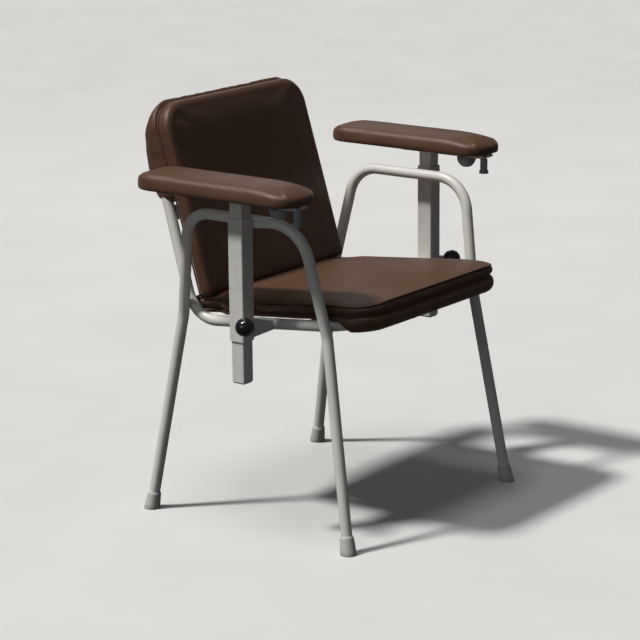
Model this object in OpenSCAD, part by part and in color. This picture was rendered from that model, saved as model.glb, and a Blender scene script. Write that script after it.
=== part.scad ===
// Blood-draw chair: bent-tube frame, upholstered seat and back, and two padded arms that slide up
// and down on posts and fore and aft on channels. The front of the chair faces -Y, the floor is z = 0.

/* [Tube] */
// Outer diameter of the round frame tube
tube_d = 22; // [20:0.5:23]
// Wall thickness of the round frame tube
tube_wall = 1.5; // [1.2:0.1:2]

/* [Side frames] */
// Distance of each foot from the middle of the chair
foot_x = 284; // [276:1:292]
// Position of the front feet
front_foot_y = -260; // [-268:1:-252]
// Position of the rear feet
rear_foot_y = 237; // [229:1:245]
// Distance of each knee, where the legs meet the arch, from the middle
knee_x = 254; // [252:0.5:256]
// Height of the knees
knee_z = 414.5; // [410:0.5:419]
// Position of the front knees
front_knee_y = -192; // [-198:1:-186]
// Position of the rear knees
rear_knee_y = 165; // [159:1:171]
// Height of the arch's level top tube
arch_z = 633.5; // [628:0.5:636]
// Distance of the arch's level top tube from the middle
arch_x = 282.3; // [280:0.1:283.5]
// Position of the arch's front corner before it is rounded
arch_front_y = -152; // [-158:1:-146]
// Position of the arch's rear corner before it is rounded
arch_rear_y = 125; // [119:1:131]
// Bend radius at the arch's front corner
arch_front_r = 76; // [66:1:80]
// Bend radius at the arch's rear corner
arch_rear_r = 65; // [56:1:70]
// Bend radius at the knees
knee_r = 90; // [60:5:120]

/* [Seat and back tube] */
// Angle by which the seat's front is raised
seat_tilt = 5.8; // [5.8:0.1:7]
// Height of the seat tube's centre line at the middle of the chair
seat_tube_z = 415.6; // [412:0.2:415.6]
// Distance of the side rails from the middle
rail_x = 236; // [235:0.5:236.5]
// Position of the front cross rail, along the seat
front_rail_y = -243; // [-248:1:-238]
// Bend radius of the seat tube's front corners
front_rail_r = 90; // [80:1:100]
// Position of the corner between rail and upright, along the seat, before it is rounded
upright_foot_y = 152; // [148:1:156]
// Bend radius from the rail into the upright
upright_r = 74; // [66:1:80]
// Position of the upright's top end
upright_top_y = 265; // [262:0.5:267]
// Distance of the upright's top end from the middle
upright_top_x = 214; // [210:0.5:216]
// Height of the upright's top end
upright_top_z = 745; // [735:1:750]

/* [Seat] */
// Half the width of the seat cushion
seat_half_w = 238; // [234:0.5:240]
// Front edge of the seat cushion, along the seat
seat_front = -284.5; // [-286:0.5:-280]
// Rear end of the seat cushion's full width, along the seat
seat_side_rear = 97; // [90:0.5:98]
// Rear edge of the seat cushion between the uprights, along the seat
seat_rear = 168; // [150:0.5:170]
// Half the width of the seat cushion between the uprights
seat_rear_half_w = 220; // [216:0.5:221]
// Height of the seat cushion's top above the tube's centre line
seat_top = 44; // [40:0.5:44]
// Depth of the front roll below the tube's centre line
seat_roll_drop = 14; // [8:0.5:18]
// Radius of the seat cushion's front corners
seat_corner_r = 62; // [50:1:70]
// Thickness of the plywood seat board
seat_board_t = 12; // [9:0.5:15]

/* [Backrest] */
// Angle by which the backrest leans back
back_lean = 17; // [16:0.1:17.4]
// Position of the backrest's front face at its lower edge
back_y = 111.4; // [111:0.2:113]
// Height of the backrest's lower edge
back_z = 455.5; // [455.5:0.5:459]
// Height of the backrest along its face
back_h = 394; // [388:1:396]
// Half the width of the backrest
back_half_w = 230; // [226:0.5:233]
// Thickness of the backrest's front cushion with its board
back_t = 32; // [30:0.5:34]
// Radius of the backrest's top corners
back_corner_r = 58; // [50:1:66]
// Thickness of the plywood back board
back_board_t = 10; // [8:0.5:12]

/* [Posts] */
// Distance of each post from the middle
post_x = 321; // [320:0.5:324]
// Position of the posts
post_y = -36; // [-40:1:-32]
// Outer width of the square sleeve
sleeve_w = 35; // [34:0.5:36]
// Outer width of the square inner post
post_w = 30; // [29:0.5:30]
// Height of the sleeve's lower end
sleeve_bottom = 404; // [400:1:408]
// Height of the sleeve's upper end
sleeve_top = 646; // [642:1:650]
// Height of the inner post's lower end
post_bottom = 322; // [316:1:326]

/* [Arm pads] */
// Height of the pad's underside
pad_z = 687; // [687:0.5:690]
// Thickness of the pad cushion
pad_t = 36; // [30:0.5:40]
// Width of the pad
pad_w = 114; // [108:1:118]
// Length of the pad
pad_len = 394; // [388:1:400]
// Position of the pad's middle
pad_y = 1; // [-2:0.5:4]
// Radius of the pad's corners in plan
pad_corner_r = 50; // [40:1:54]
// Height of the arm channel's underside
channel_z = 677; // [676.5:0.5:677]

/* [Knobs] */
// Diameter of the ball on the height clamp
ball_d = 37; // [32:0.5:38]
// Height of the height clamp
clamp_z = 442; // [436:1:450]
// Position of the pad clamp knob
pad_knob_y = -131; // [-132:0.5:-127]
// Position of the pull plunger
plunger_y = -174; // [-175:0.5:-172]

/* [Hidden] */
$fn = 64;

coat = "whitesmoke";
vinyl = "saddlebrown";
tube_r = tube_d / 2;
bore_r = tube_r - tube_wall;
bend_swell = 0.05;
bend_lap = 1;

// Feet
foot_floor = 6.5;
foot_profile = [[0, -4], [16, -4], [16, 4], [13.6, 33], [12.6, 36], [0, 36]];
front_foot = [foot_x, front_foot_y, 0];
rear_foot = [foot_x, rear_foot_y, 0];
front_knee = [knee_x, front_knee_y, knee_z];
rear_knee = [knee_x, rear_knee_y, knee_z];

// Square tubes
sleeve_in = sleeve_w - 3;
post_in = post_w - 4;
corner_r = 3;
guide_len = 30;
guide_w = post_w + 0.16;

// Height clamp, along a diagonal axis that starts at the post's centre line
stud_r = 4;
run_gap = 0.06;
ball_at = 50;
boss_start = 22.4;
boss_end = 31;

// Arm channel and what slides in it
channel_h = 9.5;
channel_wall = 2;
channel_w = 34;
channel_front = -182;
channel_rear = 20;
lip_half = 8.5;
slide_z = channel_z + channel_wall + 0.4;
slide_t = 4;
slide_w = 29;
riser_w = 16;
slide_front = -187;
slide_rear = 8;
pin_r = 3;
slot_r = pin_r + 0.3;
pad_travel_back = 6;
pad_travel_front = 30;
pad_board_t = 9;

// Plunger
barrel_r = 5;
barrel_bottom = channel_z - 17;
chamber_r = 4.4;
chamber_z = channel_z - 15.5;
collar_z = channel_z - 5;
pin_top = slide_z + 3;

// Back fixings
strap_h = 30;
strap_t = 4;
strap_at = [176, 290];
screw_r = 2.5;

// ---- Shared shapes ----

function unit(v) = v / norm(v);

// Turns the +Z axis to the direction d, and keeps the X axis level
module aim(d) {
    u = unit(d);
    rotate([0, acos(u.z), atan2(u.y, u.x)]) children();
}

// Round bar from a to b, made longer by start_more before a and end_more after b
module run(a, b, r, start_more, end_more) {
    translate(a) aim(b - a) translate([0, 0, -start_more])
        cylinder(h = norm(b - a) + start_more + end_more, r = r);
}

function bend_angle(a, b, c) = acos(unit(b - a) * unit(c - b));
function bend_cut(a, b, c, bend) = bend * tan(bend_angle(a, b, c) / 2);

// One bend of a bar that comes from a, turns at b and goes on to c
module elbow(a, b, c, bend, r) {
    u = unit(b - a);
    w = unit(c - b);
    axis = unit(cross(u, w));
    inward = cross(axis, u);
    centre = b - u * bend_cut(a, b, c, bend) + inward * bend;
    x = -inward;
    multmatrix([[x.x, u.x, axis.x, centre.x], [x.y, u.y, axis.y, centre.y],
        [x.z, u.z, axis.z, centre.z], [0, 0, 0, 1]])
        rotate_extrude(angle = bend_angle(a, b, c), $fn = 96) translate([bend, 0]) circle(r = r);
}

// A bent bar through points, with one bend radius for each point between the ends. The bends are a
// hair thicker than the runs, which reach a little way into them, so that they join as one solid.
module bent_bar(points, bends, r, more = 0) {
    last = len(points) - 1;
    cuts = [for (i = [0 : last]) i == 0 || i == last ? 0
        : bend_cut(points[i - 1], points[i], points[i + 1], bends[i - 1])];
    for (i = [0 : last - 1]) {
        d = unit(points[i + 1] - points[i]);
        run(points[i] + d * cuts[i], points[i + 1] - d * cuts[i + 1], r,
            i == 0 ? more : bend_lap, i == last - 1 ? more : bend_lap);
    }
    for (i = [1 : last - 1])
        elbow(points[i - 1], points[i], points[i + 1], bends[i - 1], r + bend_swell);
}

module bent_tube(points, bends) {
    difference() {
        bent_bar(points, bends, tube_r);
        bent_bar(points, bends, bore_r, 1);
    }
}

// Rectangle from a to b with corner radii in the order low-x low-y, high-x low-y, high-x high-y, low-x high-y
module round_rect(a, b, radii) {
    corners = [a, [b.x, a.y], b, [a.x, b.y]];
    signs = [[1, 1], [-1, 1], [-1, -1], [1, -1]];
    difference() {
        translate(a) square(b - a);
        for (i = [0 : 3]) difference() {
            translate(corners[i] + signs[i] * (radii[i] - 1) / 2) square(radii[i] + 1, center = true);
            translate(corners[i] + signs[i] * radii[i]) circle(r = radii[i]);
        }
    }
}

module square_tube(w, hole, z0, z1) {
    translate([0, 0, z0]) linear_extrude(z1 - z0) difference() {
        round_rect([-w / 2, -w / 2], [w / 2, w / 2], [corner_r, corner_r, corner_r, corner_r]);
        if (hole > 0) square(hole, center = true);
    }
}

// The parts of one arm are drawn for the left side of the chair, at +X, and mirrored for the right
module side(s) {
    if (s > 0) children();
    else mirror([1, 0, 0]) children();
}
module at_post() { translate([post_x, post_y, 0]) children(); }
module at_clamp() { translate([post_x, post_y, clamp_z]) rotate([0, 90, -45]) children(); }
module at_pad_knob() { translate([post_x, pad_knob_y, 0]) children(); }
module at_plunger() { translate([post_x, plunger_y, 0]) children(); }
module on_seat() { translate([0, 0, seat_tube_z]) rotate([-seat_tilt, 0, 0]) children(); }
module on_back() { translate([0, back_y, back_z]) rotate([-back_lean, 0, 0]) children(); }

// A point given along the seat, as a point of the chair
function seat_point(x, y) = [x, y * cos(seat_tilt), seat_tube_z - y * sin(seat_tilt)];

// ---- Welded frame ----

side_points = [front_foot + unit(front_knee - front_foot) * foot_floor, front_knee,
    [arch_x, arch_front_y, arch_z], [arch_x, arch_rear_y, arch_z], rear_knee,
    rear_foot + unit(rear_knee - rear_foot) * foot_floor];
side_bends = [knee_r, arch_front_r, arch_rear_r, knee_r];
upright_foot = seat_point(rail_x, upright_foot_y);
upright_top = [upright_top_x, upright_top_y, upright_top_z];
half_rail = [upright_top, upright_foot, seat_point(rail_x, front_rail_y), seat_point(0, front_rail_y)];
rail_bends = [upright_r, front_rail_r];

module side_frame() {
    color(coat) bent_tube(side_points, side_bends);
}

module side_frame_solid() {
    bent_bar(side_points, side_bends, tube_r);
}

module seat_back_tube() {
    color(coat) for (s = [1, -1]) side(s) difference() {
        bent_tube(half_rail, rail_bends);
        side_frame_solid();
    }
}

module seat_tube_solid() {
    for (s = [1, -1]) side(s) bent_bar(half_rail, rail_bends, tube_r);
}

// Plastic plugs in the top ends of the uprights
module upright_plugs() {
    color("dimgray") for (s = [1, -1]) side(s) translate(upright_top) aim(upright_top - upright_foot) {
        translate([0, 0, -14]) cylinder(h = 14, r = bore_r);
        cylinder(h = 2, r = tube_r);
    }
}

module foot(at, knee) {
    color("gainsboro") difference() {
        translate(at) aim(knee - at) difference() {
            rotate([0, 0, 40]) rotate_extrude() polygon(foot_profile);
            translate([0, 0, foot_floor]) cylinder(h = 40, r = tube_r);
        }
        translate(at - [40, 40, 20]) cube([80, 80, 20]);
    }
}

module sleeve() {
    color(coat) difference() {
        at_post() square_tube(sleeve_w, sleeve_in, sleeve_bottom, sleeve_top);
        at_clamp() cylinder(h = 60, r = stud_r + run_gap);
    }
}

// Nylon liners that guide the inner post at both ends of the sleeve
module sleeve_guides() {
    color("dimgray") at_post() for (z = [sleeve_bottom, sleeve_top - guide_len])
        translate([0, 0, z]) linear_extrude(guide_len) difference() {
            square(sleeve_in, center = true);
            square(guide_w, center = true);
        }
}

module clamp_boss() {
    color(coat) difference() {
        at_clamp() translate([0, 0, boss_start - 6]) cylinder(h = boss_end - boss_start + 6, r = 8);
        at_clamp() cylinder(h = 60, r = stud_r + run_gap);
        at_post() translate([0, 0, sleeve_bottom]) linear_extrude(sleeve_top - sleeve_bottom)
            round_rect([-sleeve_w / 2, -sleeve_w / 2], [sleeve_w / 2, sleeve_w / 2],
                [corner_r, corner_r, corner_r, corner_r]);
    }
}

// Block that joins the top of the sleeve to the arch
module upper_bracket() {
    inner = post_x - sleeve_w / 2;
    front = post_y - sleeve_w / 2;
    color(coat) difference() {
        translate([0, 0, arch_z - 9]) linear_extrude(18) polygon([[inner, front + 30], [inner, front],
            [arch_x + 6, front - 30], [arch_x - 2, front - 30], [arch_x - 2, front + 30]]);
        side_frame_solid();
    }
}

// Tapered arm that joins the foot of the sleeve to the seat rail
module lower_bracket() {
    inner = post_x - sleeve_w / 2;
    rail_z = seat_tube_z - post_y * tan(seat_tilt);
    color(coat) difference() {
        translate([0, post_y + sleeve_w / 2, 0]) rotate([90, 0, 0]) linear_extrude(sleeve_w)
            polygon([[inner, 409], [inner, 445], [rail_x + 4, rail_z + 9], [rail_x + 4, rail_z - 8]]);
        seat_tube_solid();
    }
}

// ---- Seat ----

module seat_plan(inset) {
    front_r = seat_corner_r - inset;
    round_rect([-seat_half_w + inset, seat_front + inset], [seat_half_w - inset, seat_side_rear - inset],
        [front_r, front_r, 18, 18]);
    round_rect([-seat_rear_half_w + inset, 0], [seat_rear_half_w - inset, seat_rear - inset], [1, 1, 8, 8]);
}

module seat_board_shape() {
    translate([0, 0, tube_r + 0.1]) linear_extrude(seat_board_t) seat_plan(12);
}

module seat_cushion() {
    bottom = tube_r + 0.3;
    rail_edge = rail_x + tube_r + 0.3;
    rail_front = front_rail_y - tube_r - 0.3;
    rail_corner = front_rail_r + tube_r + 0.3;
    color(vinyl) on_seat() difference() {
        union() {
            translate([0, 0, bottom]) linear_extrude(seat_top - bottom) seat_plan(0);
            translate([0, 0, -seat_roll_drop]) linear_extrude(seat_roll_drop + bottom) difference() {
                seat_plan(3);
                round_rect([-rail_edge, rail_front], [rail_edge, seat_rear + 20],
                    [rail_corner, rail_corner, 1, 1]);
            }
        }
        seat_board_shape();
    }
}

seat_fix_y = [-150, 45];
module each_seat_fixing() {
    for (s = [1, -1], y = seat_fix_y) translate([s * 212, y, 0]) children();
}

module seat_board() {
    color("burlywood") on_seat() difference() {
        seat_board_shape();
        each_seat_fixing() cylinder(h = tube_r + 9, r = screw_r);
    }
}

module seat_tabs() {
    color(coat) difference() {
        on_seat() for (s = [1, -1], y = seat_fix_y) difference() {
            translate([s * 215, y, tube_r - 1.5]) cube([34, 26, 3], center = true);
            translate([s * 212, y, 0]) cylinder(h = 20, r = screw_r + 0.3);
        }
        seat_tube_solid();
    }
}

module seat_screws() {
    color("silver") on_seat() each_seat_fixing() {
        translate([0, 0, tube_r - 6]) cylinder(h = 3, r = 5.5);
        translate([0, 0, tube_r - 3]) cylinder(h = 12, r = screw_r);
    }
}

// ---- Backrest ----

module back_plan(inset) {
    top_r = back_corner_r - inset;
    round_rect([-back_half_w + inset, inset], [back_half_w - inset, back_h - inset], [16, 16, top_r, top_r]);
}

// Extrudes a shape drawn across the backrest, from depth y0 to y1 behind its front face
module back_slab(y0, y1) {
    translate([0, y1, 0]) rotate([90, 0, 0]) linear_extrude(y1 - y0) children();
}

module back_board_shape() {
    back_slab(back_t - back_board_t, back_t) back_plan(12);
}

module back_cushion() {
    color(vinyl) on_back() difference() {
        back_slab(0, back_t) back_plan(0);
        back_board_shape();
    }
}

module each_back_fixing() {
    for (s = [1, -1], z = strap_at) translate([s * 150, back_t, z]) rotate([90, 0, 0]) children();
}

module back_board() {
    color("burlywood") on_back() difference() {
        back_board_shape();
        each_back_fixing() cylinder(h = 8, r = screw_r);
    }
}

// Distance of an upright's inner side from the middle, beside height z of the backrest
function ear_x(z) =
    let (up = back_z + z * cos(back_lean) - 58 * sin(back_lean) - upright_foot.z)
    upright_foot.x + (upright_top.x - upright_foot.x) * up / (upright_top.z - upright_foot.z) - tube_r;

// Two flat bars behind the back board, with an ear at each end that is welded to the upright
module back_straps() {
    color(coat) difference() {
        on_back() for (z = strap_at) {
            edge = ear_x(z) + 1;
            difference() {
                translate([-edge, back_t, z - strap_h / 2]) cube([2 * edge, strap_t, strap_h]);
                for (s = [1, -1]) translate([s * 150, back_t + 10, z]) rotate([90, 0, 0])
                    cylinder(h = 20, r = screw_r + 0.3);
            }
            for (s = [1, -1]) side(s) translate([edge - strap_t, back_t, z - strap_h / 2])
                cube([strap_t, 36, strap_h]);
        }
        seat_tube_solid();
    }
}

module back_screws() {
    color("silver") on_back() each_back_fixing() {
        translate([0, 0, -strap_t - 3]) cylinder(h = 3, r = 5);
        translate([0, 0, -strap_t]) cylinder(h = strap_t + 8, r = screw_r);
    }
}

// Side outline of the padded pocket over the uprights: depth behind the front face, height along it
shell_profile = [[back_t + 0.3, 206], [back_t + 26, 194], [back_t + 54, 202], [back_t + 64, 224],
    [back_t + 62, 268], [back_t + 56, 308], [back_t + 46, 344], [back_t + 32, 374], [back_t + 18, 392],
    [back_t + 0.3, 398]];
shell_half_w = 234;

module back_shell() {
    color(vinyl) difference() {
        on_back() intersection() {
            rotate([90, 0, 90]) translate([0, 0, -shell_half_w - 4]) linear_extrude(2 * shell_half_w + 8)
                polygon(shell_profile);
            back_slab(0, 200) round_rect([-shell_half_w, 0], [shell_half_w, 400], [1, 1, 56, 56]);
        }
        for (s = [1, -1]) side(s) translate(upright_foot) aim(upright_top - upright_foot)
            cylinder(h = norm(upright_top - upright_foot) + 3, r = tube_r + 0.3);
        on_back() translate([-222, back_t, strap_at[1] - 18]) cube([444, 44, 36]);
    }
}

// ---- Arms ----

module arm_post() {
    color(coat) at_post() square_tube(post_w, post_in, post_bottom, channel_z);
}

module post_cap() {
    color(coat) at_post() {
        translate([0, 0, post_bottom]) linear_extrude(12) square(post_in, center = true);
        translate([0, 0, post_bottom - 3]) linear_extrude(3) round_rect([-post_w / 2 + 1.5, -post_w / 2 + 1.5],
            [post_w / 2 - 1.5, post_w / 2 - 1.5], [corner_r, corner_r, corner_r, corner_r]);
    }
}

// Pin that meets the sleeve's lower edge when the arm is fully raised
module stop_pin() {
    color("silver") at_post() translate([-post_w / 2 - 3.5, 0, post_bottom + 14]) rotate([0, 90, 0])
        cylinder(h = 3.5, r = 3);
}

module arm_channel() {
    length = channel_rear - channel_front;
    inside = channel_w - 2 * channel_wall;
    color(coat) difference() {
        translate([post_x, channel_rear, channel_z]) rotate([90, 0, 0]) linear_extrude(length) difference() {
            translate([-channel_w / 2, 0]) square([channel_w, channel_h]);
            translate([-inside / 2, channel_wall]) square([inside, channel_h - 2 * channel_wall]);
            translate([-lip_half, channel_wall]) square([2 * lip_half, channel_h]);
        }
        at_pad_knob() translate([0, 0, channel_z - 1]) cylinder(h = channel_wall + 2, r = stud_r + run_gap);
        at_plunger() translate([0, 0, channel_z - 1]) cylinder(h = channel_wall + 2, r = pin_r + run_gap);
    }
}

module plunger_barrel() {
    color("silver") at_plunger() difference() {
        translate([0, 0, barrel_bottom]) cylinder(h = channel_z - barrel_bottom, r = barrel_r);
        translate([0, 0, barrel_bottom - 1]) cylinder(h = 30, r = pin_r + run_gap);
        translate([0, 0, chamber_z]) cylinder(h = channel_z - chamber_z - 2, r = chamber_r);
    }
}

// T-shaped slide under the pad: the wide plate runs in the channel, and the riser carries the board
module pad_slide() {
    color("silver") difference() {
        union() {
            translate([post_x - slide_w / 2, slide_front, slide_z])
                cube([slide_w, slide_rear - slide_front, slide_t]);
            translate([post_x - riser_w / 2, slide_front, slide_z])
                cube([riser_w, slide_rear - slide_front, pad_z - slide_z]);
        }
        translate([post_x, plunger_y, slide_z - 1]) linear_extrude(slide_t + 2) {
            translate([-slot_r, -pad_travel_back]) square([2 * slot_r, pad_travel_back + pad_travel_front]);
            for (y = [-pad_travel_back, pad_travel_front]) translate([0, y]) circle(r = slot_r);
        }
        each_pad_screw() {
            translate([0, 0, slide_z - 1]) cylinder(h = 3, r = 4);
            translate([0, 0, slide_z]) cylinder(h = 20, r = 2);
        }
    }
}

module each_pad_screw() {
    for (y = [-90, -50, -10]) translate([post_x, y, 0]) children();
}

module pad_screws() {
    color("silver") each_pad_screw() {
        translate([0, 0, slide_z]) cylinder(h = 2, r = 4);
        translate([0, 0, slide_z + 2]) cylinder(h = pad_z - slide_z + 4, r = 2);
    }
}

module pad_plan(inset) {
    r = pad_corner_r - inset;
    translate([post_x, pad_y]) round_rect([-pad_w / 2 + inset, -pad_len / 2 + inset],
        [pad_w / 2 - inset, pad_len / 2 - inset], [r, r, r, r]);
}

module pad_board_shape() {
    translate([0, 0, pad_z]) linear_extrude(pad_board_t) pad_plan(9);
}

module pad_board() {
    color("burlywood") difference() {
        pad_board_shape();
        each_pad_screw() translate([0, 0, pad_z - 1]) cylinder(h = 7, r = 2);
    }
}

module pad_cushion() {
    color(vinyl) difference() {
        translate([0, 0, pad_z]) linear_extrude(pad_t) pad_plan(0);
        pad_board_shape();
    }
}

module clamp_knob() {
    color("black") at_clamp() difference() {
        translate([0, 0, ball_at]) sphere(d = ball_d);
        cylinder(h = ball_at + 4, r = stud_r);
        cylinder(h = ball_at - ball_d / 2 + 1.2, r = 12);
    }
}

module clamp_stud() {
    start = post_w / 2 * sqrt(2) - 1;
    color("silver") at_clamp() translate([0, 0, start]) cylinder(h = ball_at + 4 - start, r = stud_r);
}

// Bowl-shaped hand knob under the front of the pad
module pad_knob() {
    top = channel_z - 1;
    bottom = channel_z - 22.5;
    color("gray") at_pad_knob() difference() {
        rotate_extrude() polygon([[0, bottom], [9, bottom], [13.5, bottom + 3.5], [17.5, bottom + 9],
            [19.6, bottom + 14.5], [20, top - 2], [18.5, top], [0, top]]);
        translate([0, 0, channel_z - 15]) cylinder(h = 20, r = stud_r);
    }
}

module pad_stud() {
    z0 = channel_z - 15;
    color("silver") at_pad_knob() translate([0, 0, z0]) cylinder(h = slide_z - 0.2 - z0, r = stud_r);
}

module plunger_knob() {
    bottom = channel_z - 33;
    color("gray") at_plunger() difference() {
        union() {
            translate([0, 0, bottom]) cylinder(h = 6, r = 9.6);
            translate([0, 0, bottom + 6]) cylinder(h = 24, r = 7.6);
        }
        translate([0, 0, barrel_bottom - 2]) cylinder(h = 40, r = barrel_r + 0.3);
        translate([0, 0, bottom + 2]) cylinder(h = 20, r = pin_r);
    }
}

module plunger_pin() {
    z0 = channel_z - 31;
    color("silver") at_plunger() {
        translate([0, 0, z0]) cylinder(h = pin_top - z0, r = pin_r);
        translate([0, 0, collar_z]) cylinder(h = 1.5, r = chamber_r - 0.2);
    }
}

// Coil of wire that pushes the plunger up, swept ring by ring
spring_turns = 3;
spring_sides = 8;
spring_steps = 12 * spring_turns;
spring_wire = 0.35;
spring_r = 3.72;
spring_z0 = chamber_z + spring_wire;
spring_z1 = collar_z - spring_wire - 0.05;
function spring_point(i, j) =
    let (turn = 30 * i, r = spring_r + spring_wire * cos(360 * j / spring_sides),
        z = spring_z0 + (spring_z1 - spring_z0) * i / spring_steps)
    [r * cos(turn), r * sin(turn), z + spring_wire * sin(360 * j / spring_sides)];

module plunger_spring() {
    rings = [for (i = [0 : spring_steps], j = [0 : spring_sides - 1]) spring_point(i, j)];
    walls = [for (i = [0 : spring_steps - 1], j = [0 : spring_sides - 1])
        let (a = i * spring_sides + j, b = i * spring_sides + (j + 1) % spring_sides)
        [a, a + spring_sides, b + spring_sides, b]];
    first = [for (j = [0 : spring_sides - 1]) j];
    end = [for (j = [spring_sides - 1 : -1 : 0]) spring_steps * spring_sides + j];
    color("silver") at_plunger() polyhedron(rings, concat([first], walls, [end]));
}

// ---- Nodes ----

side(-1) side_frame();  // right_side_frame
side(1) side_frame();  // left_side_frame
seat_back_tube();
back_straps();
upright_plugs();
side(-1) foot(front_foot, front_knee);  // front_right_foot
side(1) foot(front_foot, front_knee);  // front_left_foot
side(-1) foot(rear_foot, rear_knee);  // rear_right_foot
side(1) foot(rear_foot, rear_knee);  // rear_left_foot
side(-1) sleeve();  // right_sleeve
side(1) sleeve();  // left_sleeve
side(-1) upper_bracket();  // right_upper_bracket
side(1) upper_bracket();  // left_upper_bracket
side(-1) lower_bracket();  // right_lower_bracket
side(1) lower_bracket();  // left_lower_bracket
side(-1) sleeve_guides();  // right_sleeve_guides
side(1) sleeve_guides();  // left_sleeve_guides
side(-1) clamp_boss();  // right_clamp_boss
side(1) clamp_boss();  // left_clamp_boss
seat_cushion();
seat_board();
seat_tabs();
seat_screws();
back_cushion();
back_board();
back_shell();
back_screws();
side(-1) arm_post();  // right_arm_post
side(1) arm_post();  // left_arm_post
side(-1) post_cap();  // right_post_cap
side(1) post_cap();  // left_post_cap
side(-1) stop_pin();  // right_stop_pin
side(1) stop_pin();  // left_stop_pin
side(-1) arm_channel();  // right_arm_channel
side(1) arm_channel();  // left_arm_channel
side(-1) plunger_barrel();  // right_plunger_barrel
side(1) plunger_barrel();  // left_plunger_barrel
side(-1) pad_slide();  // right_pad_slide
side(1) pad_slide();  // left_pad_slide
side(-1) pad_board();  // right_pad_board
side(1) pad_board();  // left_pad_board
side(-1) pad_cushion();  // right_pad_cushion
side(1) pad_cushion();  // left_pad_cushion
side(-1) pad_screws();  // right_pad_screws
side(1) pad_screws();  // left_pad_screws
side(-1) clamp_knob();  // right_clamp_knob
side(1) clamp_knob();  // left_clamp_knob
side(-1) clamp_stud();  // right_clamp_stud
side(1) clamp_stud();  // left_clamp_stud
side(-1) pad_knob();  // right_pad_knob
side(1) pad_knob();  // left_pad_knob
side(-1) pad_stud();  // right_pad_stud
side(1) pad_stud();  // left_pad_stud
side(-1) plunger_knob();  // right_plunger_knob
side(1) plunger_knob();  // left_plunger_knob
side(-1) plunger_pin();  // right_plunger_pin
side(1) plunger_pin();  // left_plunger_pin
side(-1) plunger_spring();  // right_plunger_spring
side(1) plunger_spring();  // left_plunger_spring
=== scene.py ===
import math

import bmesh
import bpy
import numpy as np
from mathutils import Matrix, Vector, noise


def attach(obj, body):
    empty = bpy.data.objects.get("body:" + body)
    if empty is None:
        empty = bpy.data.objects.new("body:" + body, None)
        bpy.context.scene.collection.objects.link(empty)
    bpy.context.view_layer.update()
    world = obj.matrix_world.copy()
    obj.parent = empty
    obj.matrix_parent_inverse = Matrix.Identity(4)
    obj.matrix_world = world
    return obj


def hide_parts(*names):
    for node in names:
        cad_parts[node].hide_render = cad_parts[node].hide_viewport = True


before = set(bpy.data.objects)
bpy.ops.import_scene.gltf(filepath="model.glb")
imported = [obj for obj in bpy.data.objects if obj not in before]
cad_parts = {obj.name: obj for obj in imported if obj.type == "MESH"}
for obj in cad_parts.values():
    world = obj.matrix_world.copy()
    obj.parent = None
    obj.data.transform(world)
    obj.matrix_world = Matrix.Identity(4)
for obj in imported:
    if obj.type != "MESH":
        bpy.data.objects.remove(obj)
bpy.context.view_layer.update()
scene = bpy.context.scene

SIDES = (("right", -1), ("left", 1))

# ---- Sizes, in metres, repeated from part.scad ----

SEAT_TILT = math.radians(5.8)
SEAT_Z = 0.4156
BACK_LEAN = math.radians(17)
BACK_FOOT = Vector((0, 0.1114, 0.4555))
POST_X = 0.321
PAD_Z = 0.687


# ---- Camera, light and floor ----

def place_camera():
    azimuth, elevation, roll = (math.radians(a) for a in (-53.294, 14.29, -0.54))
    back = Vector((math.sin(azimuth) * math.cos(elevation),
                   -math.cos(azimuth) * math.cos(elevation), math.sin(elevation)))
    level = Vector((math.cos(azimuth), math.sin(azimuth), 0))
    up = back.cross(level)
    right = level * math.cos(roll) + up * math.sin(roll)
    top = -level * math.sin(roll) + up * math.cos(roll)
    camera = bpy.data.cameras.new("camera")
    camera.lens = 139.63
    camera.sensor_width = 36
    camera.clip_end = 100
    obj = bpy.data.objects.new("camera", camera)
    scene.collection.objects.link(obj)
    place = Vector((0, 0.015, 0.36906)) + back * 5.0894
    obj.matrix_world = Matrix((
        (right.x, top.x, back.x, place.x),
        (right.y, top.y, back.y, place.y),
        (right.z, top.z, back.z, place.z),
        (0, 0, 0, 1)))
    scene.camera = obj


def aimed_lamp(kind, name, place, aim):
    lamp = bpy.data.lights.new(name, kind)
    obj = bpy.data.objects.new(name, lamp)
    scene.collection.objects.link(obj)
    obj.location = place
    obj.rotation_euler = (Vector(aim) - Vector(place)).to_track_quat("-Z", "Y").to_euler()
    return lamp


def broad_light(name, place, spread, strength, colour):
    """Even light over the whole floor, with soft shadows."""
    lamp = aimed_lamp("SUN", name, place, (0, 0, 0.5))
    lamp.angle = math.radians(spread)
    lamp.energy = strength
    lamp.color = colour


def panel_light(name, place, size, power, colour):
    lamp = aimed_lamp("AREA", name, place, (0, 0, 0.45))
    lamp.shape = "DISK"
    lamp.size = size
    lamp.energy = power
    lamp.color = colour


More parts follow.
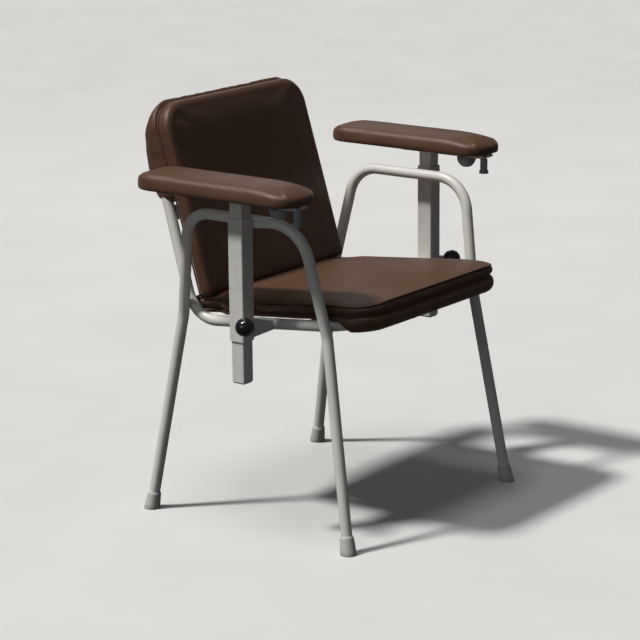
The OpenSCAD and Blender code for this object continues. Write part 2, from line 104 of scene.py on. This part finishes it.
def studio():
    world = bpy.data.worlds.new("studio")
    world.use_nodes = True
    background = world.node_tree.nodes["Background"]
    background.inputs["Color"].default_value = (0.93, 0.95, 1.0, 1)
    background.inputs["Strength"].default_value = 0.06
    scene.world = world
    broad_light("key", (-3.9, 2.9, 8.5), 6.5, 2.95, (1.0, 0.985, 0.96))
    broad_light("top", (-1.8, 0.2, 8.8), 17, 0.62, (1.0, 0.99, 0.97))
    panel_light("fill", (-6.0, 0.2, 2.2), 3.0, 22, (0.98, 0.99, 1.0))
    panel_light("rim", (3.0, 2.6, 2.6), 1.6, 7, (1.0, 1.0, 1.0))
    scene.view_settings.view_transform = "Standard"

    bpy.ops.mesh.primitive_grid_add(x_subdivisions=4, y_subdivisions=4, size=240, location=(0, 0, 0))
    floor = bpy.context.object
    floor.name = "floor"
    floor.visible_diffuse = False
    floor.visible_glossy = False
    material, nodes, links, shader = new_material("floor_paper")
    mottled = noise_node(nodes, links, scale=3, detail=2)
    colour = ramp(nodes, links, mottled, [(0.3, (0.66, 0.66, 0.655)), (0.7, (0.69, 0.69, 0.685))])
    links.new(colour, shader.inputs["Base Color"])
    shader.inputs["Roughness"].default_value = 0.75
    floor.data.materials.append(material)


# ---- Materials ----

def new_material(name):
    material = bpy.data.materials.new(name)
    material.use_nodes = True
    tree = material.node_tree
    shader = tree.nodes["Principled BSDF"]
    return material, tree.nodes, tree.links, shader


def place_node(nodes, links, scale=(1, 1, 1)):
    """Where a point lies on the object, in metres, so that every pattern keeps its real size."""
    for node in nodes:
        if node.name == "place":
            coordinate = node
            break
    else:
        coordinate = nodes.new("ShaderNodeTexCoord")
        coordinate.name = "place"
    if scale == (1, 1, 1):
        return coordinate.outputs["Object"]
    mapping = nodes.new("ShaderNodeMapping")
    mapping.inputs["Scale"].default_value = scale
    links.new(coordinate.outputs["Object"], mapping.inputs["Vector"])
    return mapping.outputs["Vector"]


def noise_node(nodes, links, scale, detail=3, roughness=0.5, stretch=(1, 1, 1)):
    node = nodes.new("ShaderNodeTexNoise")
    node.inputs["Scale"].default_value = scale
    node.inputs["Detail"].default_value = detail
    node.inputs["Roughness"].default_value = roughness
    links.new(place_node(nodes, links, stretch), node.inputs["Vector"])
    return node.outputs["Fac"]


def ramp(nodes, links, source, stops):
    node = nodes.new("ShaderNodeValToRGB")
    elements = node.color_ramp.elements
    while len(elements) < len(stops):
        elements.new(0.5)
    for element, (position, colour) in zip(elements, stops):
        element.position = position
        element.color = (*colour, 1) if len(colour) == 3 else colour
    links.new(source, node.inputs["Fac"])
    return node.outputs["Color"]


def grey(value):
    return (value, value, value)


def rough_between(nodes, links, shader, source, low, high):
    spread = nodes.new("ShaderNodeMapRange")
    spread.inputs["From Min"].default_value = 0.3
    spread.inputs["From Max"].default_value = 0.7
    spread.inputs["To Min"].default_value = low
    spread.inputs["To Max"].default_value = high
    links.new(source, spread.inputs["Value"])
    links.new(spread.outputs["Result"], shader.inputs["Roughness"])


def bumped(nodes, links, shader, layers):
    """layers: (height source, distance in metres, strength), from coarse to fine."""
    normal = None
    for source, distance, strength in layers:
        bump = nodes.new("ShaderNodeBump")
        bump.inputs["Distance"].default_value = distance
        bump.inputs["Strength"].default_value = strength
        links.new(source, bump.inputs["Height"])
        if normal is not None:
            links.new(normal, bump.inputs["Normal"])
        normal = bump.outputs["Normal"]
    links.new(normal, shader.inputs["Normal"])


def mixed(nodes, links, factor, first, second):
    node = nodes.new("ShaderNodeMix")
    node.data_type = "RGBA"
    links.new(factor, node.inputs["Factor"])
    for value, socket in ((first, node.inputs["A"]), (second, node.inputs["B"])):
        if isinstance(value, tuple):
            socket.default_value = (*value, 1)
        else:
            links.new(value, socket)
    return node.outputs["Result"]


def edge_wear_and_highlight(nodes, links, low, high, patchy_scale):
    """Brighter on convex edges, in patches: a painted highlight on the vinyl, wear on the powder coat."""
    geometry = nodes.new("ShaderNodeNewGeometry")
    edges = ramp(nodes, links, geometry.outputs["Pointiness"], [(low, grey(0)), (high, grey(1))])
    spots = noise_node(nodes, links, patchy_scale, 4)
    patches = ramp(nodes, links, spots, [(0.45, grey(0)), (0.62, grey(1))])
    multiply = nodes.new("ShaderNodeMath")
    multiply.operation = "MULTIPLY"
    links.new(edges, multiply.inputs[0])
    links.new(patches, multiply.inputs[1])
    return multiply.outputs["Value"]


def vinyl_material():
    material, nodes, links, shader = new_material("brown_vinyl")
    tone = noise_node(nodes, links, 9, 3)
    colour = ramp(nodes, links, tone, [(0.3, (0.080, 0.034, 0.015)), (0.7, (0.092, 0.041, 0.020))])
    # painted highlight: the vinyl's convex edges are lightened in patches, where the light catches them
    edge_wear_and_highlight_mask = edge_wear_and_highlight(nodes, links, 0.50, 0.62, 38)
    colour = mixed(nodes, links, edge_wear_and_highlight_mask, colour, (0.118, 0.060, 0.036))
    links.new(colour, shader.inputs["Base Color"])
    rough_between(nodes, links, shader, noise_node(nodes, links, 26, 3), 0.44, 0.54)
    shader.inputs["Specular IOR Level"].default_value = 0.5
    shader.inputs["Sheen Weight"].default_value = 0.2
    shader.inputs["Sheen Roughness"].default_value = 0.45
    shader.inputs["Sheen Tint"].default_value = (0.85, 0.72, 0.64, 1)
    grain = nodes.new("ShaderNodeTexVoronoi")
    grain.feature = "DISTANCE_TO_EDGE"
    grain.inputs["Scale"].default_value = 620
    warp = nodes.new("ShaderNodeVectorMath")
    warp.operation = "MULTIPLY_ADD"
    jitter = nodes.new("ShaderNodeTexNoise")
    jitter.inputs["Scale"].default_value = 260
    links.new(place_node(nodes, links), jitter.inputs["Vector"])
    links.new(jitter.outputs["Color"], warp.inputs[0])
    warp.inputs[1].default_value = (0.0016, 0.0016, 0.0016)
    links.new(place_node(nodes, links), warp.inputs[2])
    links.new(warp.outputs["Vector"], grain.inputs["Vector"])
    cells = ramp(nodes, links, grain.outputs["Distance"], [(0.0, grey(0)), (0.16, grey(1))])
    bumped(nodes, links, shader, [
        (noise_node(nodes, links, 17, 2), 0.0012, 0.12),
        (cells, 0.00018, 0.30),
        (noise_node(nodes, links, 1500, 2), 0.00008, 0.25)])
    return material


def coat_material():
    """Powder coat: faint orange peel, a little wear and dust."""
    material, nodes, links, shader = new_material("white_powder_coat")
    tone = noise_node(nodes, links, 6, 4)
    colour = ramp(nodes, links, tone, [(0.3, (0.74, 0.725, 0.69)), (0.7, (0.79, 0.775, 0.74))])
    edge_wear_and_highlight_mask = edge_wear_and_highlight(nodes, links, 0.56, 0.72, 60)
    colour = mixed(nodes, links, edge_wear_and_highlight_mask, colour, (0.62, 0.60, 0.57))
    links.new(colour, shader.inputs["Base Color"])
    rough_between(nodes, links, shader, noise_node(nodes, links, 40, 3), 0.30, 0.40)
    shader.inputs["Coat Weight"].default_value = 0.12
    shader.inputs["Coat Roughness"].default_value = 0.22
    bumped(nodes, links, shader, [
        (noise_node(nodes, links, 420, 2), 0.00012, 0.22),
        (noise_node(nodes, links, 1400, 1), 0.00005, 0.15)])
    return material


def rubber_material():
    material, nodes, links, shader = new_material("pale_rubber")
    place = place_node(nodes, links)
    split = nodes.new("ShaderNodeSeparateXYZ")
    links.new(place, split.inputs["Vector"])
    scuff = noise_node(nodes, links, 120, 4)
    near_floor = nodes.new("ShaderNodeMapRange")
    near_floor.inputs["From Min"].default_value = 0.0
    near_floor.inputs["From Max"].default_value = 0.012
    near_floor.inputs["To Min"].default_value = 0.9
    near_floor.inputs["To Max"].default_value = 0.0
    links.new(split.outputs["Z"], near_floor.inputs["Value"])
    dirt = nodes.new("ShaderNodeMath")
    dirt.operation = "MULTIPLY"
    links.new(near_floor.outputs["Result"], dirt.inputs[0])
    links.new(scuff, dirt.inputs[1])
    tone = noise_node(nodes, links, 30, 3)
    clean = ramp(nodes, links, tone, [(0.3, (0.56, 0.545, 0.515)), (0.7, (0.62, 0.605, 0.575))])
    colour = mixed(nodes, links, dirt.outputs["Value"], clean, (0.20, 0.19, 0.18))
    links.new(colour, shader.inputs["Base Color"])
    rough_between(nodes, links, shader, scuff, 0.55, 0.75)
    bumped(nodes, links, shader, [(noise_node(nodes, links, 900, 2), 0.0001, 0.3)])
    return material


def metal_material(name, dark, light, rough_low, rough_high, brush=(1, 1, 1)):
    material, nodes, links, shader = new_material(name)
    shader.inputs["Metallic"].default_value = 1
    tone = noise_node(nodes, links, 60, 4, stretch=brush)
    links.new(ramp(nodes, links, tone, [(0.3, dark), (0.7, light)]), shader.inputs["Base Color"])
    streaks = noise_node(nodes, links, 300, 3, stretch=brush)
    rough_between(nodes, links, shader, streaks, rough_low, rough_high)
    bumped(nodes, links, shader, [(streaks, 0.00005, 0.25)])
    return material


def plastic_material(name, dark, light, rough_low, rough_high, texture, coat=0.0):
    material, nodes, links, shader = new_material(name)
    tone = noise_node(nodes, links, 45, 3)
    links.new(ramp(nodes, links, tone, [(0.3, dark), (0.7, light)]), shader.inputs["Base Color"])
    rough_between(nodes, links, shader, noise_node(nodes, links, 150, 4), rough_low, rough_high)
    shader.inputs["Coat Weight"].default_value = coat
    shader.inputs["Coat Roughness"].default_value = 0.08
    bumped(nodes, links, shader, [(noise_node(nodes, links, 1300, 2), 0.00008, texture)])
    return material


def plywood_material():
    material, nodes, links, shader = new_material("plywood")
    long_grain = noise_node(nodes, links, 55, 5, 0.6, stretch=(0.06, 1, 1))
    rings = nodes.new("ShaderNodeTexWave")
    rings.inputs["Scale"].default_value = 9
    rings.inputs["Distortion"].default_value = 9
    rings.inputs["Detail"].default_value = 3
    links.new(place_node(nodes, links, (0.12, 1, 0.4)), rings.inputs["Vector"])
    base = ramp(nodes, links, long_grain, [(0.3, (0.42, 0.27, 0.14)), (0.7, (0.58, 0.41, 0.24))])
    figure = ramp(nodes, links, rings.outputs["Fac"], [(0.35, grey(0.0)), (0.9, grey(0.35))])
    links.new(mixed(nodes, links, figure, base, (0.38, 0.23, 0.11)), shader.inputs["Base Color"])
    rough_between(nodes, links, shader, long_grain, 0.55, 0.7)
    bumped(nodes, links, shader, [(long_grain, 0.0003, 0.3)])
    return material


def give(material, *stems):
    """Puts a material on every CAD node whose name ends with one of the stems."""
    for name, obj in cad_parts.items():
        if any(name == stem or name.endswith("_" + stem) for stem in stems):
            obj.data.materials.clear()
            obj.data.materials.append(material)


# ---- Upholstery ----

def smooth(x, low, high):
    t = np.clip((np.asarray(x, float) - low) / (high - low), 0, 1)
    return t * t * (3 - 2 * t)


class Outline:
    """Points around a rounded rectangle, nu steps along each low and high edge and nv along each side, and
    starting in the middle of the corner at low x and low y. radii go round from that corner."""

    def __init__(self, low, high, radii, nu, nv):
        self.nu, self.nv = nu, nv
        (x0, y0), (x1, y1) = low, high
        centres = [(x0 + radii[0], y0 + radii[0]), (x1 - radii[1], y0 + radii[1]),
                   (x1 - radii[2], y1 - radii[2]), (x0 + radii[3], y1 - radii[3])]
        points, normals = [], []
        for k, steps in enumerate((nu, nv, nu, nv)):
            a, b = k, (k + 1) % 4
            start = math.radians(225 + 90 * k)
            turn = math.radians(45)
            p = np.array(centres[a]) + radii[a] * np.array((math.cos(start + turn), math.sin(start + turn)))
            q = np.array(centres[b]) + radii[b] * np.array((math.cos(start + turn), math.sin(start + turn)))
            straight = float(np.linalg.norm(q - p))
            first, last = radii[a] * turn, radii[b] * turn
            total = first + straight + last
            for i in range(steps):
                s = total * i / steps
                if s < first:
                    angle = start + s / radii[a]
                    n = np.array((math.cos(angle), math.sin(angle)))
                    c = np.array(centres[a]) + n * radii[a]
                elif s < first + straight:
                    n = np.array((math.cos(start + turn), math.sin(start + turn)))
                    c = p + (q - p) * (s - first) / straight
                else:
                    angle = start + turn + (s - first - straight) / radii[b]
                    n = np.array((math.cos(angle), math.sin(angle)))
                    c = np.array(centres[b]) + n * radii[b]
                points.append(c)
                normals.append(n)
        self.points, self.normals = np.array(points), np.array(normals)
        self.count = len(points)

    def inset(self, distance):
        return self.points - self.normals * np.reshape(distance, (-1, 1))


def border_cells(nu, nv):
    """The grid cell that each outline point lies at, in the outline's order."""
    return ([(i, 0) for i in range(nu)] + [(nu, j) for j in range(nv)]
            + [(nu - i, nv) for i in range(nu)] + [(0, nv - j) for j in range(nv)])


def even_out(grid, rounds):
    """Moves every inner value of a grid to the mean of its four neighbours, again and again."""
    for _ in range(rounds):
        grid[1:-1, 1:-1] = (grid[:-2, 1:-1] + grid[2:, 1:-1] + grid[1:-1, :-2] + grid[1:-1, 2:]) / 4


def filled_grid(border, nu, nv):
    """Spreads a grid of points evenly inside a border."""
    grid = np.zeros((nu + 1, nv + 1, border.shape[1]))
    for (i, j), p in zip(border_cells(nu, nv), border):
        grid[i, j] = p
    u = np.linspace(0, 1, nu + 1)[:, None, None]
    v = np.linspace(0, 1, nv + 1)[None, :, None]
    low, high = grid[:, 0][:, None], grid[:, nv][:, None]
    left, right = grid[0][None], grid[nu][None]
    corners = ((1 - u) * (1 - v) * grid[0, 0] + u * (1 - v) * grid[nu, 0]
               + (1 - u) * v * grid[0, nv] + u * v * grid[nu, nv])
    inside = (1 - v) * low + v * high + (1 - u) * left + u * right - corners
    grid[1:-1, 1:-1] = inside[1:-1, 1:-1]
    even_out(grid, 80)
    return grid


class Cushion:
    """A closed cover: a crowned top panel, rings of points down its sides, and a flat bottom panel. Every
    ring is (inset, height), each a number or one value for each outline point. The first ring is the top
    panel's edge and the last the bottom panel's."""

    def __init__(self, name, outline, rings, crown, matrix):
        self.outline = outline
        n, nu, nv = outline.count, outline.nu, outline.nv
        cells = border_cells(nu, nv)
        points = []
        self.rings = []

        def panel(ring, rise):
            inset, height = ring
            edge = np.column_stack([outline.inset(inset), np.broadcast_to(height, (n,))])
            grid = filled_grid(edge, nu, nv)
            depth = self.depth(grid[..., :2])
            even_out(depth, 14)
            if rise is not None:
                grid[..., 2] += rise(grid[..., 0], grid[..., 1], depth)
            index = np.arange(grid.shape[0] * grid.shape[1]).reshape(grid.shape[:2]) + len(points)
            points.extend(grid.reshape(-1, 3))
            self.rings.append(np.array([index[c] for c in cells]))
            return index

        faces = []
        top = panel(rings[0], crown)
        for inset, height in rings[1:-1]:
            start = len(points)
            points.extend(np.column_stack([outline.inset(inset), np.broadcast_to(height, (n,))]))
            self.rings.append(np.arange(start, start + n))
        bottom = panel(rings[-1], None)
        faces += [(top[i, j], top[i + 1, j], top[i + 1, j + 1], top[i, j + 1])
                  for i in range(nu) for j in range(nv)]
        faces += [(bottom[i, j], bottom[i, j + 1], bottom[i + 1, j + 1], bottom[i + 1, j])
                  for i in range(nu) for j in range(nv)]
        for upper, lower in zip(self.rings, self.rings[1:]):
            faces += [(lower[k], lower[(k + 1) % n], upper[(k + 1) % n], upper[k]) for k in range(n)]
        mesh = bpy.data.meshes.new(name)
        mesh.from_pydata([tuple(p) for p in points], [], [tuple(int(v) for v in f) for f in faces])
        mesh.update()
        self.top, self.bottom = top, bottom
        self.local = np.array(points)
        self.matrix = matrix
        self.object = bpy.data.objects.new(name, mesh)
        scene.collection.objects.link(self.object)
        for polygon in mesh.polygons:
            polygon.use_smooth = True

    def depth(self, xy):
        """How far each point lies inside the outline's box."""
        low, high = self.outline.points.min(0), self.outline.points.max(0)
        return np.minimum(np.minimum(xy[..., 0] - low[0], high[0] - xy[..., 0]),
                          np.minimum(xy[..., 1] - low[1], high[1] - xy[..., 1]))

    def write(self, points):
        self.local = points
        self.object.data.vertices.foreach_set("co", points.astype(np.float32).ravel())
        self.object.data.update()

    def inflate(self, hold, pressure, cap, slack=0.0):
        """Blows the cover up between its seams with a cloth simulation. hold gives how firmly each point
        stays, from 0 to 1, and cap how far each may move."""
        frames = 20
        stiffness = 15.0
        obj = self.object
        group = obj.vertex_groups.new(name="hold")
        for index in np.nonzero(hold > 0)[0]:
            group.add([int(index)], float(hold[index]), "REPLACE")
        cloth = obj.modifiers.new("cloth", "CLOTH")
        settings = cloth.settings
        settings.quality = 6
        settings.mass = 0.3
        settings.tension_stiffness = stiffness
        settings.compression_stiffness = stiffness
        settings.shear_stiffness = stiffness / 2
        settings.bending_stiffness = 0.5
        settings.use_pressure = True
        settings.uniform_pressure_force = pressure
        settings.vertex_group_mass = "hold"
        settings.shrink_min = -slack
        settings.effector_weights.gravity = 0
        cloth.collision_settings.use_collision = False
        cloth.collision_settings.use_self_collision = False
        cloth.point_cache.frame_start = 1
        cloth.point_cache.frame_end = frames
        for number in range(1, frames + 1):
            scene.frame_set(number)
        evaluated = obj.evaluated_get(bpy.context.evaluated_depsgraph_get())
        moved = np.zeros(len(self.local) * 3, np.float32)
        evaluated.data.vertices.foreach_get("co", moved)
        obj.modifiers.remove(cloth)
        obj.vertex_groups.clear()
        scene.frame_set(1)
        step = moved.reshape(-1, 3).astype(float) - self.local
        length = np.linalg.norm(step, axis=1)
        limit = np.broadcast_to(cap, length.shape)
        still = 1e-9
        kept = limit * np.tanh(length / np.maximum(limit, still))
        share = np.where(length > still, kept / np.maximum(length, still), 0)
        print(obj.name, "moved", round(float(length.max()) * 1000, 2), "mm, kept",
              round(float((length * share).max()) * 1000, 2), "mm")
        self.write(self.local + step * share[:, None])

    def finish(self, material, body, replaced):
        """Puts the cover in its place, over the CAD solid that it stands for."""
        obj = self.object
        obj.data.transform(self.matrix)
        obj.data.materials.append(material)
        rounder = obj.modifiers.new("rounder", "SUBSURF")
        rounder.levels = rounder.render_levels = 1
        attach(obj, body)
        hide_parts(replaced)


def cord_mesh(name, path, radius, matrix):
    """A round cord along a closed path."""
    count = len(path)
    sides = 10
    tangent = np.roll(path, -1, 0) - np.roll(path, 1, 0)
    tangent /= np.linalg.norm(tangent, axis=1)[:, None]
    side = np.cross(tangent, (0, 0, 1.0))
    side /= np.maximum(np.linalg.norm(side, axis=1), 1e-9)[:, None]
    rise = np.cross(side, tangent)
    angles = np.arange(sides) * 2 * math.pi / sides
    points = path[:, None] + radius * (side[:, None] * np.cos(angles)[None, :, None]
                                       + rise[:, None] * np.sin(angles)[None, :, None])
    faces = []
    for i in range(count):
        j = (i + 1) % count
        for k in range(sides):
            after = (k + 1) % sides
            faces.append((i * sides + k, j * sides + k, j * sides + after, i * sides + after))
    mesh = bpy.data.meshes.new(name)
    mesh.from_pydata([tuple(p) for p in points.reshape(-1, 3)], [], faces)
    mesh.update()
    mesh.transform(matrix)
    editing = bmesh.new()
    editing.from_mesh(mesh)
    bmesh.ops.recalc_face_normals(editing, faces=editing.faces)
    editing.to_mesh(mesh)
    editing.free()
    for polygon in mesh.polygons:
        polygon.use_smooth = True
    obj = bpy.data.objects.new(name, mesh)
    scene.collection.objects.link(obj)
    return obj


def piping(name, cushion, ring, material, radius, out, lift):
    """Welt sewn into a cover along one of its rings."""
    path = cushion.local[cushion.rings[ring]].copy()
    path[:, :2] += cushion.outline.normals * out
    path[:, 2] += lift
    obj = cord_mesh(name, path, radius, cushion.matrix)
    obj.data.materials.append(material)
    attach(obj, "frame")


def held(cushion, rings):
    """Holds the given rings firmly, and the bottom panel."""
    hold = np.zeros(len(cushion.local))
    for ring in rings:
        hold[cushion.rings[ring]] = 1
    hold[cushion.bottom.ravel()] = 1
    return hold


def seat_matrix():
    return Matrix.Translation((0, 0, SEAT_Z)) @ Matrix.Rotation(-SEAT_TILT, 4, "X")


def back_matrix(depth, faces_rear):
    """Local x across, y up along the backrest, z out of the panel. Depth is behind the front face."""
    along = Vector((0, math.sin(BACK_LEAN), math.cos(BACK_LEAN)))
    rear = Vector((0, math.cos(BACK_LEAN), -math.sin(BACK_LEAN)))
    out = rear if faces_rear else -rear
    across = along.cross(out)
    place = BACK_FOOT + rear * depth
    return Matrix(((across.x, along.x, out.x, place.x), (across.y, along.y, out.y, place.y),
                   (across.z, along.z, out.z, place.z), (0, 0, 0, 1)))


def puckers(outline, amount, wavelength, seed):
    """Small irregular puckers along a seam, one value for each outline point."""
    values = []
    for x, y in outline.points:
        values.append(noise.noise(Vector((x / wavelength, y / wavelength, seed * 3.7))))
    return np.array(values) * amount


def make_seat(material):
    outline = Outline((-0.2375, -0.283), (0.2375, 0.1665), (0.061, 0.061, 0.010, 0.010), 76, 70)
    x, y = outline.points[:, 0], outline.points[:, 1]
    # the seat is narrower where it passes between the uprights
    outline.points[:, 0] *= 1 - 0.0755 * smooth(y, 0.066, 0.100)
    front = 1 - smooth(y, -0.230, -0.198)
    droop = 0.0040 * smooth(np.abs(x), 0.165, 0.235) * (1 - smooth(y, -0.265, -0.190))
    base = 0.0118
    seam_z = 0.0205 - 0.0005 * front
    low = base + (-0.0125 - base) * front
    drop = seam_z - low
    pucker = puckers(outline, 0.0007, 0.012, 1) * (0.35 + 0.65 * front)
    rings = [
        (0.0080, 0.0426 - droop),
        (0.0036, 0.0412 - droop),
        (0.0044, 0.0392 - droop),
        (0.0010, 0.0376 - droop * 0.9),
        (0.0000 + pucker * 0.3, 0.0345 - droop * 0.7),
        (0.0000 + pucker * 0.4, 0.0295 - droop * 0.5),
        (0.0010 + pucker * 0.6, 0.0256 - droop * 0.3),
        (0.0050 + pucker * 0.5, 0.0226 - droop * 0.1),
        (0.0072, seam_z),
        (0.0046 - pucker * 0.5, seam_z - drop * 0.07),
        (0.0004 - pucker * 0.5, seam_z - drop * 0.20),
        (-0.0010 * front, seam_z - drop * 0.42),
        (0.0004 + 0.0004 * front, low + drop * 0.24),
        (0.0034 + 0.0040 * front, low + drop * 0.05),
        (0.0060 + 0.0070 * front, low - 0.0001 - 0.0010 * front),
        (0.0090 + 0.0135 * front, low + 0.0008 * front),
        (0.0100 + 0.0165 * front, low + (base - low) * 0.5),
        (0.0105 + 0.0170 * front, base + 0.0002),
    ]

    def crown(x, y, depth):
        return 0.0042 * smooth(depth, 0.0, 0.085)

    seat = Cushion("seat_upholstery", outline, rings, crown, seat_matrix())
    hold = held(seat, (1, 2, 8, 14, 15, 16, 17))
    cap = np.full(len(seat.local), 0.0035)
    for ring in range(3, 14):
        cap[seat.rings[ring]] = 0.0016
    seat.inflate(hold, 4.0, cap, slack=0.004)
    piping("seat_welt", seat, 1, material, radius=0.0020, out=0.0006, lift=0.0004)
    seat.finish(material, "frame", "seat_cushion")


def make_back(material):
    outline = Outline((-0.2295, -0.003), (0.2295, 0.3935), (0.010, 0.010, 0.058, 0.058), 74, 66)
    face = 0.0322
    pucker = puckers(outline, 0.0006, 0.014, 5)
    rings = [
        (0.0110, face - 0.0036),
        (0.0062, face - 0.0050),
        (0.0026, face - 0.0078),
        (0.0008 + pucker * 0.2, face - 0.0118),
        (0.0002 + pucker * 0.4, face - 0.0170),
        (0.0000 + pucker * 0.5, face - 0.0225),
        (0.0006 + pucker * 0.5, face - 0.0270),
        (0.0022, face - 0.0304),
        (0.0052, face - 0.0318),
    ]

    def crown(x, y, depth):
        return 0.0042 * smooth(depth, -0.004, 0.070)

    back = Cushion("back_upholstery", outline, rings, crown, back_matrix(0.0327, False))
    hold = held(back, (7, 8))
    cap = np.full(len(back.local), 0.0014)
    for ring in range(1, 7):
        cap[back.rings[ring]] = 0.0010
    back.inflate(hold, 4.0, cap)
    piping("back_welt", back, 8, material, radius=0.0018, out=0.0034, lift=-0.0002)
    back.finish(material, "frame", "back_cushion")


def shell_depth(height):
    """How far the padded pocket stands out behind its front plane, along the backrest."""
    knots = [0.196, 0.210, 0.228, 0.268, 0.308, 0.344, 0.374, 0.390, 0.3985]
    depth = [0.0440, 0.0570, 0.0625, 0.0620, 0.0560, 0.0465, 0.0335, 0.0230, 0.0150]
    return np.interp(height, knots, depth)


def make_shell(material):
    outline = Outline((-0.2335, 0.1955), (0.2335, 0.3995), (0.020, 0.020, 0.057, 0.057), 74, 34)
    height = outline.points[:, 1]
    side = smooth(np.abs(outline.points[:, 0]), 0.205, 0.231)
    edge = shell_depth(height) * (1 - 0.04 * side) - 0.003
    pucker = puckers(outline, 0.0010, 0.018, 9)
    rings = [
        (0.0175, edge + 0.0000),
        (0.0110, edge - 0.0022),
        (0.0060, edge - 0.0060),
        (0.0024 + pucker * 0.3, edge * 0.72),
        (0.0004 + pucker * 0.5, edge * 0.46),
        (0.0000 + pucker * 0.5, edge * 0.22),
        (0.0008, 0.0036),
        (0.0034, 0.0010),
        (0.0070, 0.0004),
    ]

    def crown(x, y, depth):
        inside = smooth(depth, 0.012, 0.070)
        across = 1 - smooth(np.abs(x), 0.165, 0.233)
        ideal = shell_depth(y) * (0.96 + 0.04 * across)
        base = np.interp(y, height[np.argsort(height)], edge[np.argsort(height)])
        return (ideal - base) * inside

    shell = Cushion("back_pocket", outline, rings, crown, back_matrix(0.0323, True))
    # the panel's uneven edge spreads into it, so away from the edge it is set from the profile again
    points = shell.local.copy()
    ids = shell.top.ravel()
    inside = smooth(shell.depth(points[ids][:, :2]), 0.014, 0.050)
    across = 1 - smooth(np.abs(points[ids][:, 0]), 0.150, 0.233)
    wanted = shell_depth(points[ids][:, 1]) * (0.96 + 0.04 * across) - 0.001
    points[ids, 2] = points[ids, 2] * (1 - inside) + wanted * inside
    shell.write(points)
    hold = held(shell, (6, 7, 8))
    cap = np.full(len(shell.local), 0.0040)
    shell.inflate(hold, 3.0, cap, slack=0.006)
    shell.finish(material, "frame", "back_shell")


def make_pad(material, name, sign):
    outline = Outline((-0.0565, -0.1965), (0.0565, 0.1965), (0.0495, 0.0495, 0.0495, 0.0495), 22, 66)
    y = outline.points[:, 1]
    fall = 1 - smooth(y, -0.200, -0.090)
    rear = smooth(y, 0.150, 0.197)
    top = 0.0278 - 0.0070 * fall - 0.003 * rear
    soft = 0.0034 - 0.0008 * fall + 0.002 * rear
    # the rim hangs a little below the board, except where it passes over the channel's front end
    middle = 1 - smooth(np.abs(outline.points[:, 0]), 0.022, 0.034)
    lip = 0.0013 * (1 - (1 - smooth(y, -0.172, -0.150)) * middle)
    rings = [
        (0.0070 + soft, top + 0.0026),
        (0.0036 + soft * 0.7, top + 0.0006),
        (0.0012 + soft * 0.35, top - 0.0028),
        (0.0003 + soft * 0.1, top - 0.0068),
        (0.0000, 0.0105),
        (0.0000, 0.0058),
        (0.0004, 0.0016),
        (0.0014, 0.0005 - lip),
        (0.0045, -0.0003 - lip),
        (0.0105, 0.0000),
    ]

    def crown(x, y, depth):
        rise = 0.0050 + 0.0046 * (1 - smooth(y, -0.200, -0.080)) + 0.0022 * smooth(y, 0.12, 0.18)
        return rise * smooth(depth, 0.004, 0.048)

    place = Matrix.Translation((POST_X * sign, 0.001, PAD_Z))
    pad = Cushion(name + "_pad_upholstery", outline, rings, crown, place)
    hold = held(pad, (7, 8, 9))
    cap = np.full(len(pad.local), 0.0014)
    pad.inflate(hold, 4.0, cap)
    pad.finish(material, name + "_pad", name + "_pad_cushion")


# ---- Build ----

place_camera()
studio()

vinyl = vinyl_material()
coat = coat_material()
rubber = rubber_material()
zinc = metal_material("zinc_steel", (0.50, 0.51, 0.53), (0.64, 0.65, 0.67), 0.28, 0.42)
spring = metal_material("spring_steel", (0.35, 0.36, 0.38), (0.46, 0.47, 0.49), 0.22, 0.32)
ball = plastic_material("black_ball", (0.008, 0.008, 0.009), (0.014, 0.014, 0.015), 0.10, 0.16, 0.05, 0.6)
grey_plastic = plastic_material("grey_plastic", (0.30, 0.305, 0.31), (0.36, 0.365, 0.37), 0.42, 0.55, 0.35)
nylon = plastic_material("nylon", (0.05, 0.05, 0.055), (0.07, 0.07, 0.075), 0.45, 0.55, 0.25)
plywood = plywood_material()

give(coat, "side_frame", "seat_back_tube", "back_straps", "sleeve", "bracket", "clamp_boss",
     "seat_tabs", "arm_post", "post_cap", "arm_channel")
give(rubber, "foot")
give(zinc, "seat_screws", "back_screws", "stop_pin", "plunger_barrel", "pad_slide", "pad_screws",
     "clamp_stud", "pad_stud", "plunger_pin")
give(spring, "plunger_spring")
give(ball, "clamp_knob")
give(grey_plastic, "pad_knob", "plunger_knob", "upright_plugs")
give(nylon, "sleeve_guides")
give(plywood, "seat_board", "back_board", "pad_board")

make_seat(vinyl)
make_back(vinyl)
make_shell(vinyl)
for side, sign in SIDES:
    make_pad(vinyl, side, sign)
